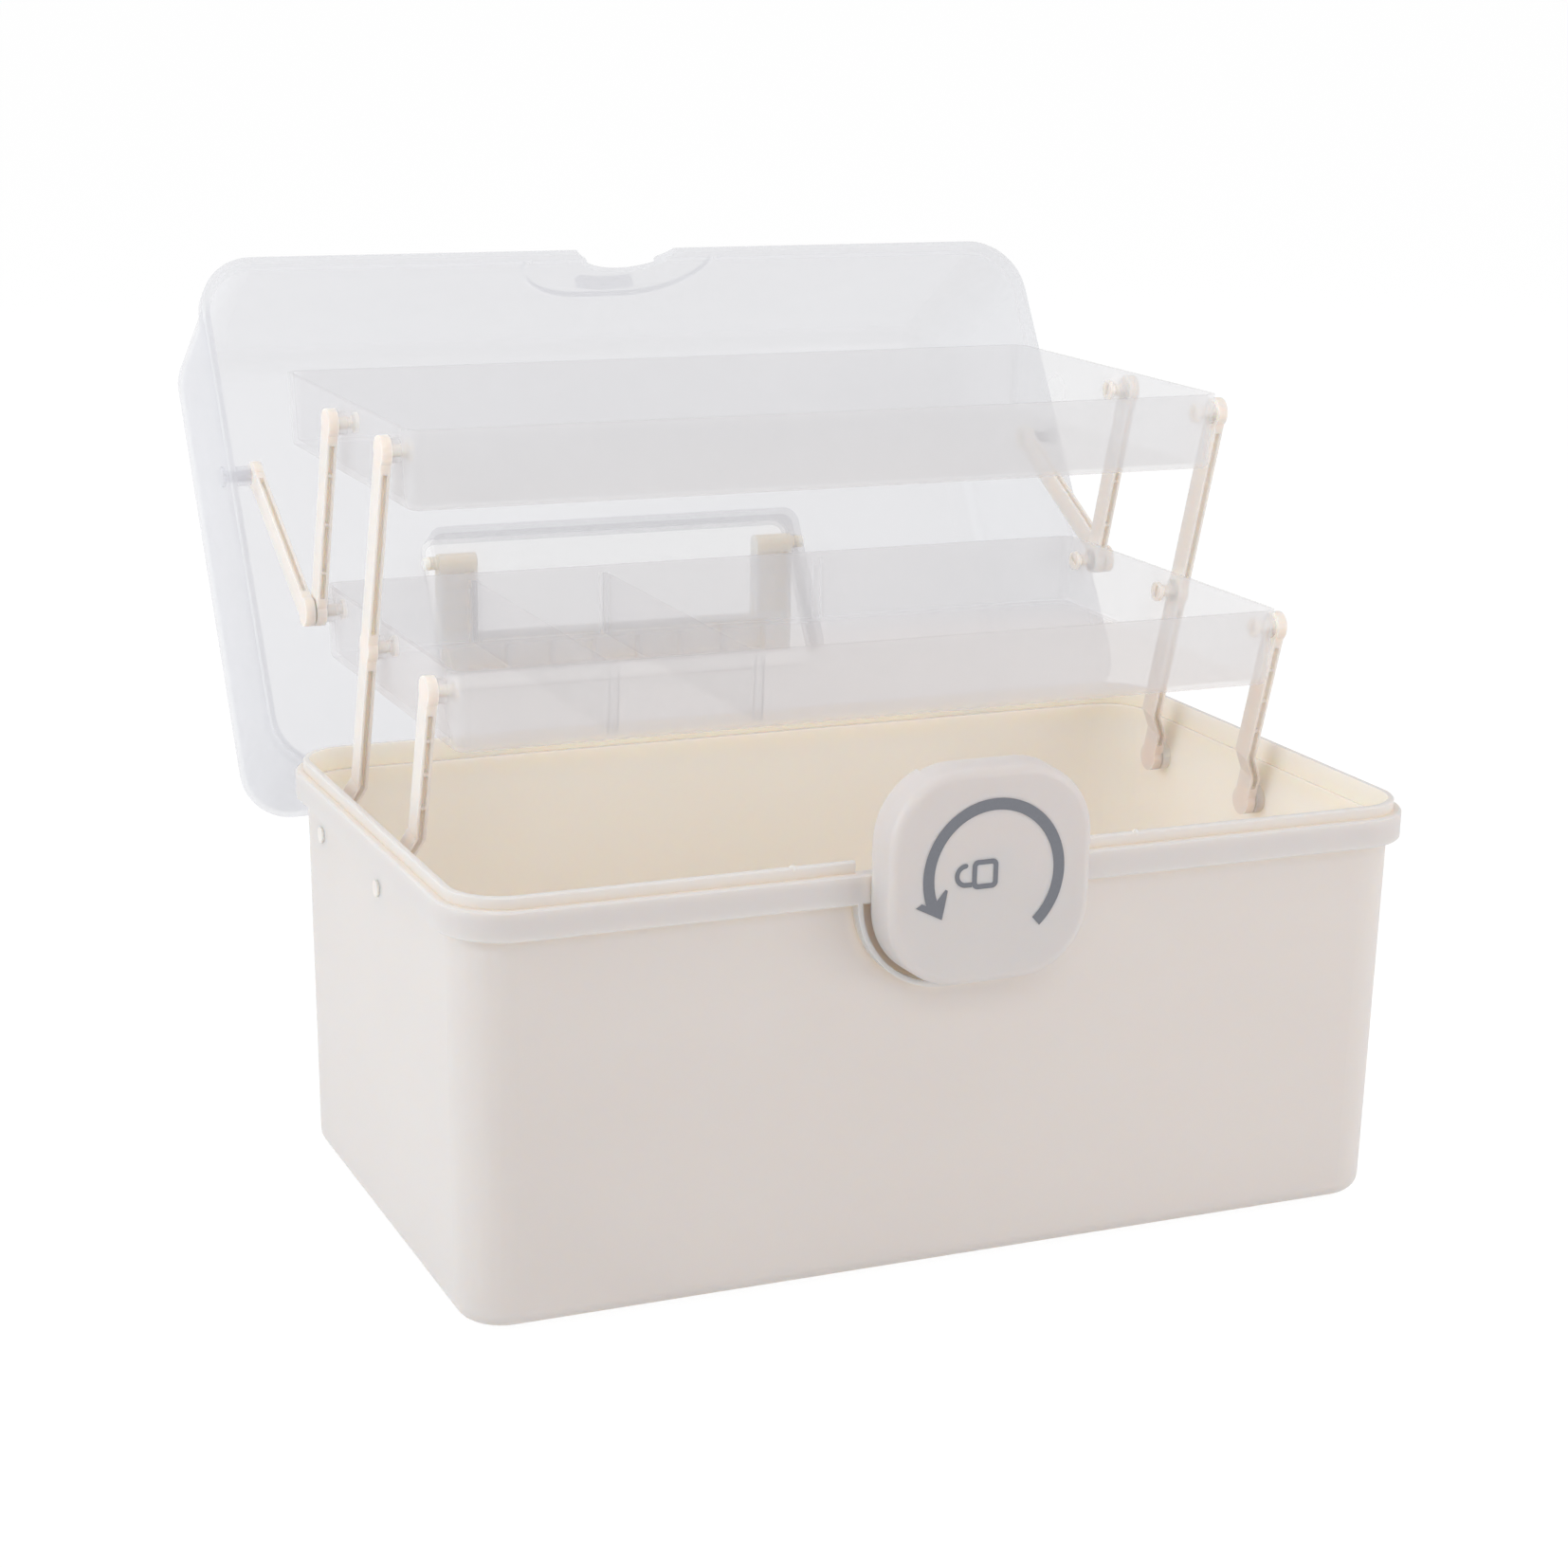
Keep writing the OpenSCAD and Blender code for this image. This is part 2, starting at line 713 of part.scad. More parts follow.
// An arm along +Z from its lower pivot; eyes lists the pivot distances.
module arm_bar(x0, c, eyes, ribs) {
    last = eyes[len(eyes) - 1];
    skin = 0.9;
    difference() {
        intersection() {
            translate([x0 - 1, 0, 0])
                rotate([90, 0, 90])
                    linear_extrude(height = arm_thick + c + 2)
                        arm_outline(eyes);
            rotate([90, 0, 0])
                linear_extrude(height = 2 * eye_r + 2, center = true)
                    arm_edge(x0, arm_thick, c, -eye_r - 1, last + eye_r + 1);
        }
        for (s = [-1, 1], k = [0 : len(eyes) - 2])
            translate([0, s * arm_width / 2, 0])
                intersection() {
                    rotate([90, 0, 0])
                        linear_extrude(height = 5, center = true)
                            arm_edge(x0 + skin, arm_thick - 2 * skin, c, -1, last + 1);
                    translate([x0 - 1, -2.5, eyes[k] + eye_r + 1.5])
                        cube([arm_thick + c + 2, 5, eyes[k + 1] - eyes[k] - 2 * eye_r - 3]);
                }
    }
    for (s = ribs)
        translate([x0 + skin - eps, -arm_width / 2 + 0.4, s - 0.5])
            cube([arm_thick - 2 * skin + 2 * eps, arm_width - 0.8, 1]);
}

// A snap pin pointing inward from an arm at x0 at height s on the arm's line.
module inward_pin(x0, s) {
    inner = tray_a - tray_draft - tray_wall - 0.3;
    difference() {
        union() {
            rod_x(inner - 0.8, x0 + 0.5, [0, s], tray_pin_r);
            rod_x(inner - 1.3, inner, [0, s], pin_head_r);
        }
        translate([inner - 2, -0.6, s - 2.2])
            cube([2.6, 1.2, 4.4]);
    }
}

module place_arm(p, lean) {
    translate([0, p[0], p[1]])
        rotate([lean, 0, 0])
            children();
}

module front_arm() {
    place_arm(bf, arm_lean) {
        arm_bar(arm_x, crank_x - arm_x, [0, arm_length], [30, 42, 54]);
        rod_x(crank_x + arm_thick - 0.5, half_a - end_inset + 0.6, [0, 0], base_pin_r);
        inward_pin(arm_x, arm_length);
    }
}

module long_arm() {
    place_arm(br, arm_lean) {
        arm_bar(arm_x, crank_x - arm_x, [0, arm_length, 2 * arm_length], []);
        rod_x(crank_x + arm_thick - 0.5, half_a - end_inset + 0.6, [0, 0], base_pin_r);
        inward_pin(arm_x, arm_length);
        inward_pin(arm_x, 2 * arm_length);
    }
}

module rear_arm() {
    place_arm(lr, arm_lean) {
        difference() {
            arm_bar(arm_x, 0, [0, arm_length], [16, 34, 52]);
            rod_x(arm_x - 1, arm_x + arm_thick + 1, [0, 0], tray_pin_r + pin_clear);
        }
        inward_pin(arm_x, arm_length);
    }
}

module lid_link() {
    place_arm(lr, link_angle - 90) {
        difference() {
            arm_bar(link_x, 0, [0, link_length], []);
            rod_x(link_x - 1, link_x + arm_thick + 1, [0, link_length], stud_r + pin_clear);
        }
        inward_pin(link_x, 0);
    }
}

module front_arm_right() {
    color(cream)
        front_arm();
}

module front_arm_left() {
    color(cream)
        mirror([1, 0, 0])
            front_arm();
}

module long_arm_right() {
    color(cream)
        long_arm();
}

module long_arm_left() {
    color(cream)
        mirror([1, 0, 0])
            long_arm();
}

module rear_arm_right() {
    color(cream)
        rear_arm();
}

module rear_arm_left() {
    color(cream)
        mirror([1, 0, 0])
            rear_arm();
}

module lid_link_right() {
    color(cream)
        lid_link();
}

module lid_link_left() {
    color(cream)
        mirror([1, 0, 0])
            lid_link();
}

module lid_studs() {
    color(cream)
        on_open_lid()
            both_ends() {
                rod_x(boss_end - 0.1, half_a + 0.5, [link_y, link_z], stud_r);
                rod_x(half_a, half_a + 1.3, [link_y, link_z], 3.6);
            }
}

module knob_cap() {
    inner = knob_thick - knob_face;
    color(cream)
        on_front() {
            difference() {
                rounded_solid(knob_half, knob_half, knob_corner, 0, knob_thick)
                    dome_section(knob_corner, knob_corner - 0.4, 0, knob_thick, 3);
                rounded_solid(knob_half - knob_wall, knob_half - knob_wall, knob_corner - knob_wall,
                    -1, inner)
                    dome_section(knob_corner - knob_wall, knob_corner - knob_wall - 0.4, -1,
                        inner, 1.5);
                translate([-way_half, 0, -1])
                    cube([2 * way_half, knob_half + 1, way_depth + 1]);
            }
            difference() {
                translate([0, 0, 3.8])
                    cylinder(r = hub_r + 2.5, h = inner - 3.8 + 0.5);
                translate([0, 0, 3])
                    cylinder(r = hub_r, h = inner - 3);
            }
        }
}

// The core behind the cap: hub, collar and the axle with its clip groove.
module knob_catch() {
    color(cream)
        on_front() {
            cylinder(r = hub_r - pin_clear, h = knob_thick - knob_face);
            translate([0, 0, 0.1 - face_gap])
                cylinder(r = hub_r + 1.5, h = face_gap + 1.4);
            difference() {
                translate([0, 0, clip_low - 2.3])
                    cylinder(r = axle_r, h = 3 - clip_low);
                translate([0, 0, clip_low - 0.05])
                    difference() {
                        cylinder(r = axle_r + 1, h = clip_thick + 0.1);
                        translate([0, 0, -1])
                            cylinder(r = axle_r - groove, h = clip_thick + 2);
                    }
            }
        }
}

module knob_clip() {
    color(cream)
        on_front()
            translate([0, 0, clip_low])
                difference() {
                    cylinder(r = clip_r, h = clip_thick);
                    translate([0, 0, -1])
                        cylinder(r = axle_r - groove, h = clip_thick + 2);
                    translate([-3.4, 0, -1])
                        cube([6.8, clip_r + 2, clip_thick + 2]);
                }
}

base_tub();
lid_shell();
handle_well();
lid_keeper();
hinge_pins();
handle();
upper_tray();
lower_tray();
divider_left();
divider_middle();
front_arm_left();
front_arm_right();
long_arm_left();
long_arm_right();
rear_arm_left();
rear_arm_right();
lid_link_left();
lid_link_right();
lid_studs();
knob_cap();
knob_catch();
knob_clip();
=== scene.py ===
"""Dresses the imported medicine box: moulded cream plastic, frosted trays and lid, the knob's printed mark."""

import bpy
import math
import numpy as np
from mathutils import Matrix, Vector


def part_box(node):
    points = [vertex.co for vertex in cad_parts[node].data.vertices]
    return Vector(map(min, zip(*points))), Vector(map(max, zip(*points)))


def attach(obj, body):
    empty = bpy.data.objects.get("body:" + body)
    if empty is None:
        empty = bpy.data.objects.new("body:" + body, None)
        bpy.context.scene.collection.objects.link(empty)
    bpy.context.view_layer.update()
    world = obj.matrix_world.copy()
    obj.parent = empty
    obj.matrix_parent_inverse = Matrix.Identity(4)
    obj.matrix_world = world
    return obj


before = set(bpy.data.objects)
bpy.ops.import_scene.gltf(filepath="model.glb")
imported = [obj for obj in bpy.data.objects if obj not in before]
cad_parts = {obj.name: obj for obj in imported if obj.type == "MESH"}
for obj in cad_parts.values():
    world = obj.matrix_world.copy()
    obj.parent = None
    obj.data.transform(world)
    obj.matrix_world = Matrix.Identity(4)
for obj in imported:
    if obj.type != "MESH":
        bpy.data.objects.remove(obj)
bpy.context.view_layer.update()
MM = 0.001
WHITE = (1.0, 1.0, 1.0, 1.0)


# Materials

# outputs and sockets that are known by number
NORMAL, OBJECT = 1, 3
CAMERA_RAY, SHADOW_RAY, GLOSSY_RAY, TRANSMISSION_RAY = 0, 1, 3, 6
COLOUR_A, COLOUR_B, COLOUR_OUT = 6, 7, 2

PLASTIC_IOR = 1.49

# cream plastic: the share of the light that soaks in, and how far red, green and blue go against the soak
# distance; a crease is a place with another wall within the reach below, in metres, and there the colour
# fades towards painted light and shade
SOAK_SHARE = 0.8
SOAK_REACH = (1.0, 0.78, 0.60)
PAINTED_CREASE_REACH = 0.004
PAINTED_CREASE_FADE = 1.3

# the tub's inside, which takes a lighter, warmer colour as painted bounce light: walls whose outward
# direction, dotted with their level place in metres, is under INSIDE_WALL, and faces that look up by more
# than INSIDE_UP and lie lower than INSIDE_LOW metres
INSIDE_WALL = -0.002
INSIDE_UP = 0.5
INSIDE_LOW = 0.06

# the direction that the lid's top looks in, as the lid is drawn open, and how closely a face follows it
LID_OPEN = math.radians(122.0)
LID_TOP = (0.0, math.sin(LID_OPEN), math.cos(LID_OPEN))
ALONG_TOP = 0.9

SHADOW_EASED = 0.6  # the share of the frosted plastic's haze that its shadow leaves out


class Wire:
    """A value on its way through a material, so that sums are written as sums."""

    def __init__(self, bench, socket):
        self.bench = bench
        self.socket = socket

    def __add__(self, other):
        return self.bench.maths("ADD", self, other)

    def __radd__(self, other):
        return self.bench.maths("ADD", other, self)

    def __sub__(self, other):
        return self.bench.maths("SUBTRACT", self, other)

    def __rsub__(self, other):
        return self.bench.maths("SUBTRACT", other, self)

    def __mul__(self, other):
        return self.bench.maths("MULTIPLY", self, other)

    def __rmul__(self, other):
        return self.bench.maths("MULTIPLY", other, self)


class Bench:
    """Where the nodes of one material, or of the world, are put together."""

    def __init__(self, owner):
        self.owner = owner
        owner.use_nodes = True
        self.tree = owner.node_tree
        self.tree.nodes.clear()

    def node(self, kind, settings=None, sockets=None):
        """Adds a node: its settings first, then the values or wires of its sockets. Gives its outputs."""
        made = self.tree.nodes.new(kind)
        for key, value in (settings or {}).items():
            setattr(made, key, value)
        for key, value in (sockets or {}).items():
            if isinstance(value, Wire):
                self.tree.links.new(value.socket, made.inputs[key])
            else:
                made.inputs[key].default_value = value
        return [Wire(self, out) for out in made.outputs]

    def maths(self, operation, first, second=0.0):
        return self.node("ShaderNodeMath", {"operation": operation}, {0: first, 1: second})[0]

    def place(self):
        """Object coordinates, in metres."""
        return self.node("ShaderNodeTexCoord")[OBJECT]

    def outwards(self):
        """The direction that a face looks in."""
        return self.node("ShaderNodeTexCoord")[NORMAL]

    def dot(self, first, second):
        """The dot product of two vectors."""
        return self.node("ShaderNodeVectorMath", {"operation": "DOT_PRODUCT"}, {0: first, 1: second})[1]

    def noise(self, scale, detail=2.0, stretch=None):
        """Smooth noise from 0 to 1, with about scale lumps to the metre."""
        where = self.place()
        if stretch:
            where = self.node("ShaderNodeMapping", None, {0: where, 3: stretch})[0]
        return self.node("ShaderNodeTexNoise", None, {"Vector": where, "Scale": scale, "Detail": detail})[0]

    def blend(self, factor, first, second):
        """One colour fading into another."""
        sockets = {0: factor, COLOUR_A: first, COLOUR_B: second}
        return self.node("ShaderNodeMix", {"data_type": "RGBA"}, sockets)[COLOUR_OUT]

    def tint(self, factor, low, high):
        """A colour between low and high."""
        return self.blend(factor, (*low, 1.0), (*high, 1.0))

    def looks_inwards(self):
        """1 on the tub's walls that look at its upright middle line, and on the floor inside; 0 outside."""
        sockets = {0: self.place(), 1: (1.0, 1.0, 0.0)}
        level = self.node("ShaderNodeVectorMath", {"operation": "MULTIPLY"}, sockets)[0]
        wall = self.maths("LESS_THAN", self.dot(self.outwards(), level), INSIDE_WALL)
        up = self.node("ShaderNodeSeparateXYZ", None, {0: self.outwards()})[2]
        height = self.node("ShaderNodeSeparateXYZ", None, {0: self.place()})[2]
        low = self.maths("GREATER_THAN", up, INSIDE_UP) * self.maths("LESS_THAN", height, INSIDE_LOW)
        return self.maths("MAXIMUM", wall, low)

    def stands_across(self, upright):
        """1 on faces that look sideways to the direction upright, 0 on those that look along it."""
        along = self.maths("ABSOLUTE", self.dot(self.outwards(), upright))
        return self.maths("LESS_THAN", along, ALONG_TOP)

    def bump(self, height, strength, distance):
        sockets = {"Height": height, "Strength": strength, "Distance": distance}
        return self.node("ShaderNodeBump", None, sockets)[0]

    def mix(self, factor, first, second):
        """One shader fading into another."""
        return self.node("ShaderNodeMixShader", None, {0: factor, 1: first, 2: second})[0]

    def finish(self, shader, output="ShaderNodeOutputMaterial"):
        self.node(output, None, {"Surface": shader})
        return self.owner


def moulded_cream(name, low, high, rough, soak, crease_light_and_shade, inside=None):
    """Milky cream polypropylene: light soaks in by about soak metres, which warms thin walls. Narrow creases,
    found by ambient occlusion, fade to a crease colour, which is painted bounce light where it is lighter than
    the surface and painted shade where it is darker. Broad flow marks in the colour, a satin grain in the
    gloss. The faces that look into the tub may take a lighter, warmer pair of colours: painted bounce light."""
    bench = Bench(bpy.data.materials.new(name))
    flow = bench.noise(scale=9.0, detail=3.0, stretch=(1.0, 1.0, 2.2))
    grain = bench.noise(scale=1400.0)
    swell = bench.noise(scale=26.0, detail=1.0)
    unoccluded = bench.node("ShaderNodeAmbientOcclusion", {"samples": 4}, {"Distance": PAINTED_CREASE_REACH})[1]
    colour = bench.tint(flow, low, high)
    # painted light and shade: where ambient occlusion finds another wall close by, the colour fades to the
    # crease colour
    colour = bench.blend((1.0 - unoccluded) * PAINTED_CREASE_FADE, colour, (*crease_light_and_shade, 1.0))
    # painted bounce light: the faces inside the tub take a lighter, warmer pair of colours
    if inside:
        colour = bench.blend(bench.looks_inwards(), colour, bench.tint(flow, *inside))
    shader = bench.node(
        "ShaderNodeBsdfPrincipled",
        None,
        {
            "Base Color": colour,
            "Roughness": grain * 0.05 + swell * 0.06 + rough,
            "Normal": bench.bump(grain * 0.35 + swell * 1.2, strength=0.18, distance=0.00012),
            "IOR": PLASTIC_IOR,
            "Subsurface Weight": SOAK_SHARE,
            "Subsurface Radius": SOAK_REACH,
            "Subsurface Scale": soak,
        },
    )[0]
    return bench.finish(shader)


def frosted(name, low, high, haze, rough, clearer=0.0):
    """Thin frosted polypropylene: the haze's share of the light scatters on both sides, the rest passes
    straight. Walls that stand across the lid's top may lose the amount clearer of their haze."""
    bench = Bench(bpy.data.materials.new(name))
    cloud = bench.noise(scale=14.0, detail=3.0)
    grain = bench.noise(scale=700.0)
    mist = cloud * 0.06 + haze
    if clearer:
        mist = mist - bench.stands_across(LID_TOP) * clearer
    colour = bench.tint(cloud, low, high)
    normal = bench.bump(grain * 0.1 + cloud, strength=0.15, distance=0.0001)
    face = bench.node(
        "ShaderNodeBsdfPrincipled",
        None,
        {
            "Base Color": colour,
            "Roughness": grain * 0.06 + rough,
            "Normal": normal,
            "IOR": PLASTIC_IOR,
        },
    )[0]
    through = bench.node("ShaderNodeBsdfTranslucent", None, {"Color": colour, "Normal": normal})[0]
    clear = bench.node("ShaderNodeBsdfTransparent", None, {"Color": WHITE})[0]
    shade = 1.0 - bench.node("ShaderNodeLightPath")[SHADOW_RAY] * SHADOW_EASED
    return bench.finish(bench.mix(mist * shade, clear, bench.mix(0.5, face, through)))


def printing_ink(name, low, high):
    """Pad-printing ink, a little uneven where it went on thin."""
    bench = Bench(bpy.data.materials.new(name))
    blot = bench.noise(scale=900.0, detail=3.0)
    sockets = {"Base Color": bench.tint(blot, low, high), "Roughness": blot * 0.12 + 0.42}
    return bench.finish(bench.node("ShaderNodeBsdfPrincipled", None, sockets)[0])


cream_base = moulded_cream(
    "cream_base",
    low=(0.646, 0.617, 0.605),
    high=(0.673, 0.644, 0.632),
    rough=0.36,
    soak=0.007,
    # painted bounce light in the creases outside the tub: lighter and warmer than the surface
    crease_light_and_shade=(0.86, 0.77, 0.68),
    # painted bounce light inside the tub: much lighter and warmer than the outside
    inside=((0.985, 0.872, 0.785), (0.995, 0.892, 0.805)),
)
# the arms' cream is lighter than the tub's outside: partly its own tone, partly painted light making up for
# the light lost behind the trays
cream_arm = moulded_cream(
    "cream_arm",
    low=(0.82, 0.735, 0.68),
    high=(0.845, 0.765, 0.71),
    rough=0.38,
    soak=0.004,
    # painted bounce light in the arms' grooves: lighter than the surface
    crease_light_and_shade=(1.0, 0.90, 0.83),
)
# the handle's cream is much lighter than the tub's: partly its own paler tone, partly painted light for the
# back light seen through the lid
cream_handle = moulded_cream(
    "cream_handle",
    low=(0.95, 0.86, 0.785),
    high=(0.97, 0.885, 0.81),
    rough=0.38,
    soak=0.010,
    # painted shade in the handle's creases: darker and warmer than the surface
    crease_light_and_shade=(0.95, 0.80, 0.66),
)
cream_knob = moulded_cream(
    "cream_knob",
    low=(0.643, 0.602, 0.588),
    high=(0.67, 0.63, 0.615),
    rough=0.40,
    soak=0.004,
    # painted bounce light in the creases round the knob: lighter than the surface
    crease_light_and_shade=(0.93, 0.85, 0.77),
)
frost_lid = frosted("frost_lid", (0.80, 0.80, 0.832), (0.85, 0.85, 0.875), haze=0.325, rough=0.20)
frost_well = frosted(
    "frost_well", (0.75, 0.75, 0.775), (0.79, 0.79, 0.81), haze=0.26, rough=0.20, clearer=0.09
)
TRAY_COLOURS = ((0.85, 0.842, 0.852), (0.875, 0.867, 0.877))
frost_tray = frosted("frost_tray", *TRAY_COLOURS, haze=0.27, rough=0.22)
frost_divider = frosted("frost_divider", *TRAY_COLOURS, haze=0.18, rough=0.22)
grey_ink = printing_ink("grey_ink", (0.15, 0.155, 0.178), (0.178, 0.184, 0.207))

# what isn't named here, such as the arms, links and pins, is of the arms' plastic
FINISH = {
    "base_tub": cream_base,
    "lid_shell": frost_lid,
    "handle_well": frost_well,
    "lid_keeper": frost_lid,
    "lid_studs": frost_lid,
    "upper_tray": frost_tray,
    "lower_tray": frost_tray,
    "divider_left": frost_divider,
    "divider_middle": frost_divider,
    "knob_cap": cream_knob,
    "handle": cream_handle,
}
for name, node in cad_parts.items():
    for slot in node.material_slots:
        slot.material = FINISH.get(name, cream_arm)


# The knob's printed mark: an open padlock inside a turning arrow, as thin ink slabs


def slab(name, outlines, y0, y1, material, body):
    """A thin slab between y0 and y1. Each outline is a strip between two edge curves, inner and outer, whose
    points pair up, and says whether it closes into a ring. Rows of quads join the pairs on both faces and
    along both edges, and an open strip gets its two ends."""
    verts = []
    faces = []
    start = 0
    for inner, outer, closed in outlines:
        n = len(inner)
        ring = np.concatenate([inner, outer])
        flat = np.stack([ring[:, 0], np.full(2 * n, y0), ring[:, 1]], 1)
        back = np.stack([ring[:, 0], np.full(2 * n, y1), ring[:, 1]], 1)
        verts.append(np.concatenate([flat, back]) * MM)
        i = np.arange(n if closed else n - 1)
        j = (i + 1) % n
        a, b, c, d = i, j, j + n, i + n
        front = np.stack([a, b, c, d], 1)
        rear = np.stack([d, c, b, a], 1) + 2 * n
        low = np.stack([a, a + 2 * n, b + 2 * n, b], 1)
        high = np.stack([d, c, c + 2 * n, d + 2 * n], 1)
        parts = [front, rear, low, high]
        if not closed:
            parts.append(np.array([[0, n, 3 * n, 2 * n]]))
            parts.append(np.array([[n - 1, 3 * n - 1, 4 * n - 1, 2 * n - 1]]))
        faces.append(np.concatenate(parts) + start)
        start += 4 * n
    mesh = bpy.data.meshes.new(name)
    mesh.from_pydata(np.concatenate(verts).tolist(), [], np.concatenate(faces).tolist())
    mesh.materials.append(material)
    piece = bpy.data.objects.new(name, mesh)
    bpy.context.scene.collection.objects.link(piece)
    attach(piece, body)


def turned(centre, radius, angles):
    """Points on a circle: centre plus radius times (cosine, sine) of each angle in degrees."""
    a = np.radians(angles)
    return np.stack([centre[0] + radius * np.cos(a), centre[1] + radius * np.sin(a)], 1)


def rounded_frame(centre, half, radius, count=16):
    """A rounded rectangle: a quarter circle of count points at each corner, about a centre that lies radius
    inside both sides."""
    quarters = []
    for across, up, start in ((1, 1, 0), (-1, 1, 90), (-1, -1, 180), (1, -1, 270)):
        corner = (centre[0] + across * (half[0] - radius), centre[1] + up * (half[1] - radius))
        quarters.append(turned(corner, radius, np.linspace(start, start + 90, count)))
    return np.concatenate(quarters)


def ribbon(path, half_width):
    """Two edges of a stroke: the path moved along its normal by half_width to either side."""
    ahead = np.gradient(path, axis=0)
    ahead /= np.linalg.norm(ahead, axis=1, keepdims=True)
    normal = np.stack([-ahead[:, 1], ahead[:, 0]], 1)
    return path - normal * half_width, path + normal * half_width


# millimetres on the knob's face, from its axis: x to the right, z up; angles are in degrees
TURN_CENTRE = (0.3, 0.7)
TURN_INNER, TURN_OUTER = 20.1, 23.8
TURN_FROM, TURN_TO = -48.0, 199.0
BARB_OUTER, BARB_INNER = (-23.6, -6.3), (-16.0, -2.5)
HEAD_FRONT = ((-25.7, -7.5), (-20.9, -9.9), (-16.9, -12.0), (-16.0, -7.5), (-15.2, -2.9))
LOCK_CENTRE = (-2.8, 1.1)
LOCK_HOLE, LOCK_HOLE_ROUND = (2.75, 3.0), 0.6
LOCK_HALF, LOCK_ROUND = (4.35, 4.6), 1.9
SHACKLE_CENTRE, SHACKLE_RADIUS = (-9.2, 1.15), 3.0
SHACKLE_FROM, SHACKLE_TO = 78.0, 270.0
SHACKLE_FOOT = ((-8.4, -1.85), (-7.15, -1.85))
SHACKLE_HALF = 0.78
SHACKLE_TIP = (12, 45, 65, 80)  # the free end swells from a point by the sines of these
INK_FRONT, INK_BACK = 0.05, 0.005  # the ink's two faces, in front of the knob's

bow = np.linspace(TURN_FROM, TURN_TO, 120)
stem = (turned(TURN_CENTRE, TURN_INNER, bow), turned(TURN_CENTRE, TURN_OUTER, bow), False)
end_inner, end_outer = stem[0][-1], stem[1][-1]
head_back = np.array([BARB_OUTER, end_outer, (end_inner + end_outer) / 2, end_inner, BARB_INNER])
head = (head_back, np.array(HEAD_FRONT), False)
lock_body = (
    rounded_frame(LOCK_CENTRE, LOCK_HOLE, LOCK_HOLE_ROUND),
    rounded_frame(LOCK_CENTRE, LOCK_HALF, LOCK_ROUND),
    True,
)
bend = np.linspace(SHACKLE_FROM, SHACKLE_TO, 40)
shackle_path = np.concatenate([turned(SHACKLE_CENTRE, SHACKLE_RADIUS, bend), SHACKLE_FOOT])
shackle_width = np.full((len(shackle_path), 1), SHACKLE_HALF)
shackle_width[: len(SHACKLE_TIP), 0] *= np.sin(np.radians(SHACKLE_TIP))
shackle = (*ribbon(shackle_path, shackle_width), False)

knob_low, knob_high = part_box("knob_cap")
knob_face = knob_low.y / MM
knob_axis = np.array([0.0, (knob_low.z + knob_high.z) / 2 / MM])
marks = [(a + knob_axis, b + knob_axis, closed) for a, b, closed in (stem, head, lock_body, shackle)]
slab("knob_mark", marks, knob_face - INK_FRONT, knob_face - INK_BACK, grey_ink, "knob")


# The room

FLOOR_HALF, FLOOR_DOWN = 40.0, 0.0002
FLOOR_GLOW = 1.06  # a little over white, to make up for the matt share
FLOOR_MATT = 0.1  # the share of the seen floor that is matt and so takes the shadow
SKY, BACKDROP = 0.45, 1.0

# place, what the lamp aims at and its two sides, all in metres, then watts and colour
PLAIN_LIGHT = (1.0, 1.0, 1.0)
LAMPS = {
    "left_soft": ((-1.9, 0.1, 0.85), (0, 0, 0.10), (1.4, 1.2), 18.5, (0.945, 1.0, 1.03)),
    "front_soft": ((1.1, -1.3, 0.3), (0.05, 0, 0.10), (0.9, 0.5), 5.2, PLAIN_LIGHT),
    "over_soft": ((-0.3, -1.3, 1.0), (0.05, 0.08, 0.08), (0.9, 0.5), 3.8, PLAIN_LIGHT),
    "top_soft": ((0.0, -0.1, 2.1), (0, 0.05, 0.1), (2.0, 1.6), 10.2, PLAIN_LIGHT),
    "right_soft": ((1.9, -0.6, 1.1), (0, 0, 0.12), (1.4, 1.2), 5.2, PLAIN_LIGHT),
    "back_soft": ((0.1, 2.0, 1.3), (0, 0.1, 0.2), (2.0, 1.4), 8.5, PLAIN_LIGHT),
}


def plane(name, half, z, material):
    """A level square at the height z: its corners are half out from the middle in x and y."""
    mesh = bpy.data.meshes.new(name)
    corners = np.array([[-1, -1], [1, -1], [1, 1], [-1, 1]]) * half
    mesh.from_pydata([(x, y, z) for x, y in corners.tolist()], [], [(0, 1, 2, 3)])
    mesh.materials.append(material)
    made = bpy.data.objects.new(name, mesh)
    bpy.context.scene.collection.objects.link(made)


def studio_floor():
    """A matt pale floor that is seen as white, with only the deep part of the object's shadow."""
    bench = Bench(bpy.data.materials.new("studio_floor"))
    pale = bench.tint(bench.noise(scale=40.0), (0.88, 0.88, 0.88), (0.90, 0.90, 0.90))
    matt = bench.node("ShaderNodeBsdfDiffuse", None, {"Color": pale})[0]
    glow = bench.node("ShaderNodeEmission", None, {"Color": WHITE, "Strength": FLOOR_GLOW})[0]
    path = bench.node("ShaderNodeLightPath")
    seen = path[CAMERA_RAY] + path[GLOSSY_RAY] + path[TRANSMISSION_RAY]
    return bench.finish(bench.mix(seen, matt, bench.mix(FLOOR_MATT, glow, matt)))


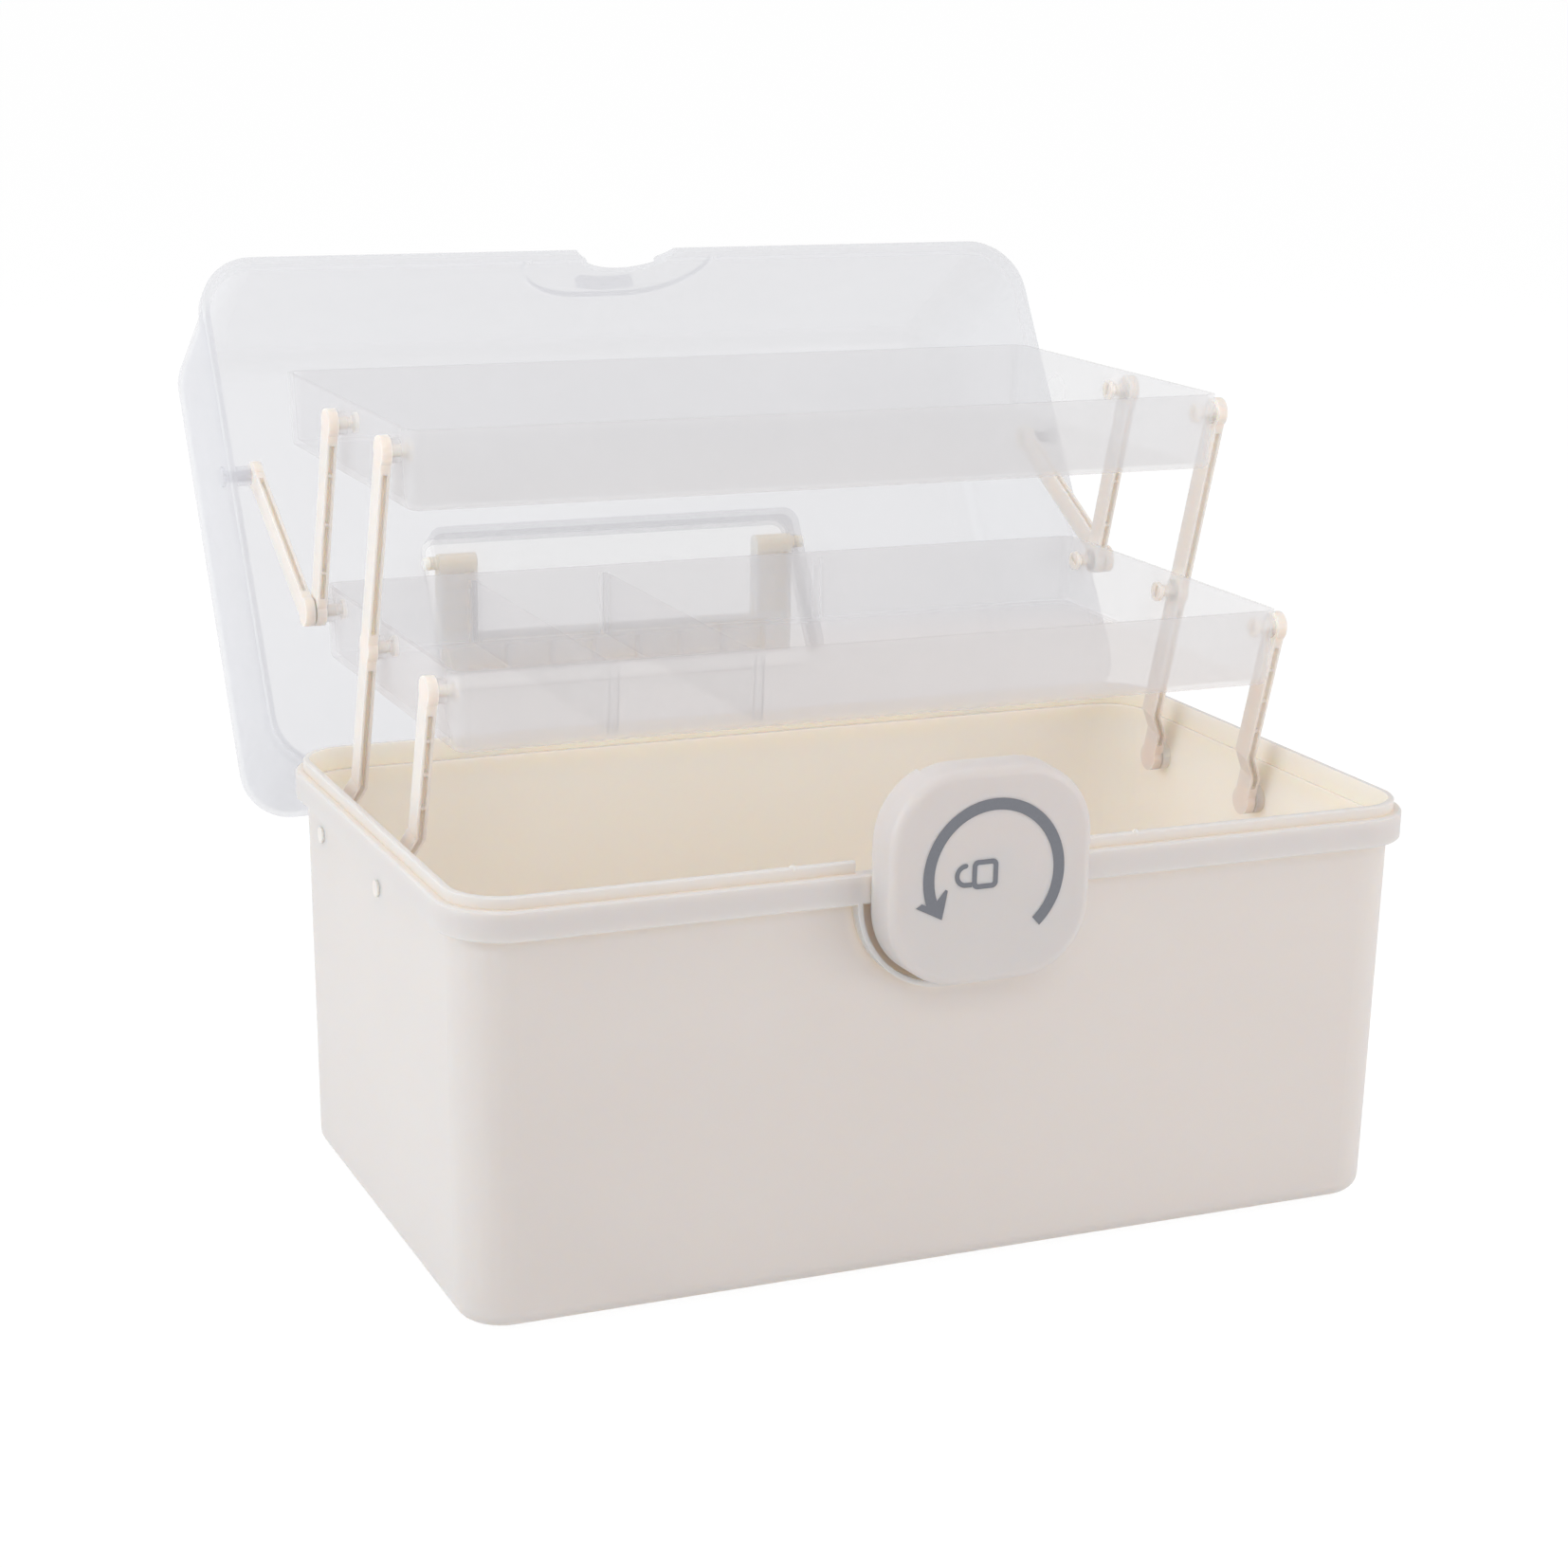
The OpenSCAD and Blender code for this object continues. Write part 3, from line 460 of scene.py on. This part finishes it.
def studio_sky():
    """Even white light from all sides, which the camera sees as the white backdrop."""
    bench = Bench(bpy.data.worlds.new("studio"))
    light = bench.node("ShaderNodeBackground", None, {"Color": WHITE, "Strength": SKY})[0]
    backdrop = bench.node("ShaderNodeBackground", None, {"Color": WHITE, "Strength": BACKDROP})[0]
    seen = bench.node("ShaderNodeLightPath")[CAMERA_RAY]
    return bench.finish(bench.mix(seen, light, backdrop), "ShaderNodeOutputWorld")


def lamp(name, place, aim, size, watts, colour):
    """A soft rectangular lamp that stands at place and shines at aim."""
    data = bpy.data.lights.new(name, "AREA")
    data.shape = "RECTANGLE"
    data.size, data.size_y = size
    data.energy = watts
    data.color = colour
    made = bpy.data.objects.new(name, data)
    bpy.context.scene.collection.objects.link(made)
    made.location = place
    made.rotation_euler = (Vector(aim) - Vector(place)).to_track_quat("-Z", "Y").to_euler()


plane("floor", FLOOR_HALF, -FLOOR_DOWN, studio_floor())
for name, values in LAMPS.items():
    lamp(name, *values)
bpy.context.scene.world = studio_sky()


# The camera


def camera(place, yaw, pitch, roll, focal_px, centre_px, frame_px):
    """Stands at place in metres, turned yaw to +X, pitched down and rolled, all in degrees. The focal length
    and the optical centre are in pixels of a square frame."""
    yaw, pitch, roll = (math.radians(v) for v in (yaw, pitch, roll))
    ahead = Vector((math.sin(yaw) * math.cos(pitch), math.cos(yaw) * math.cos(pitch), -math.sin(pitch)))
    right = ahead.cross(Vector((0, 0, 1))).normalized()
    up = right.cross(ahead)
    right, up = right * math.cos(roll) + up * math.sin(roll), up * math.cos(roll) - right * math.sin(roll)
    data = bpy.data.cameras.new("camera")
    data.sensor_width = 36.0
    data.sensor_fit = "HORIZONTAL"
    data.lens = data.sensor_width * focal_px / frame_px
    data.shift_x = (frame_px / 2 - centre_px[0]) / frame_px
    data.shift_y = (centre_px[1] - frame_px / 2) / frame_px
    data.clip_start = 0.05
    data.clip_end = 200.0
    made = bpy.data.objects.new("camera", data)
    bpy.context.scene.collection.objects.link(made)
    turn = Matrix((right, up, -ahead)).transposed().to_4x4()
    made.matrix_world = Matrix.Translation(Vector(place)) @ turn
    bpy.context.scene.camera = made


camera(
    place=(-0.4195, -0.9129, 0.4026),
    yaw=23.29,
    pitch=14.98,
    roll=0.962,
    focal_px=3294.65,
    centre_px=(810.4, 832.1),
    frame_px=1654,
)
bpy.context.scene.view_settings.view_transform = "Standard"
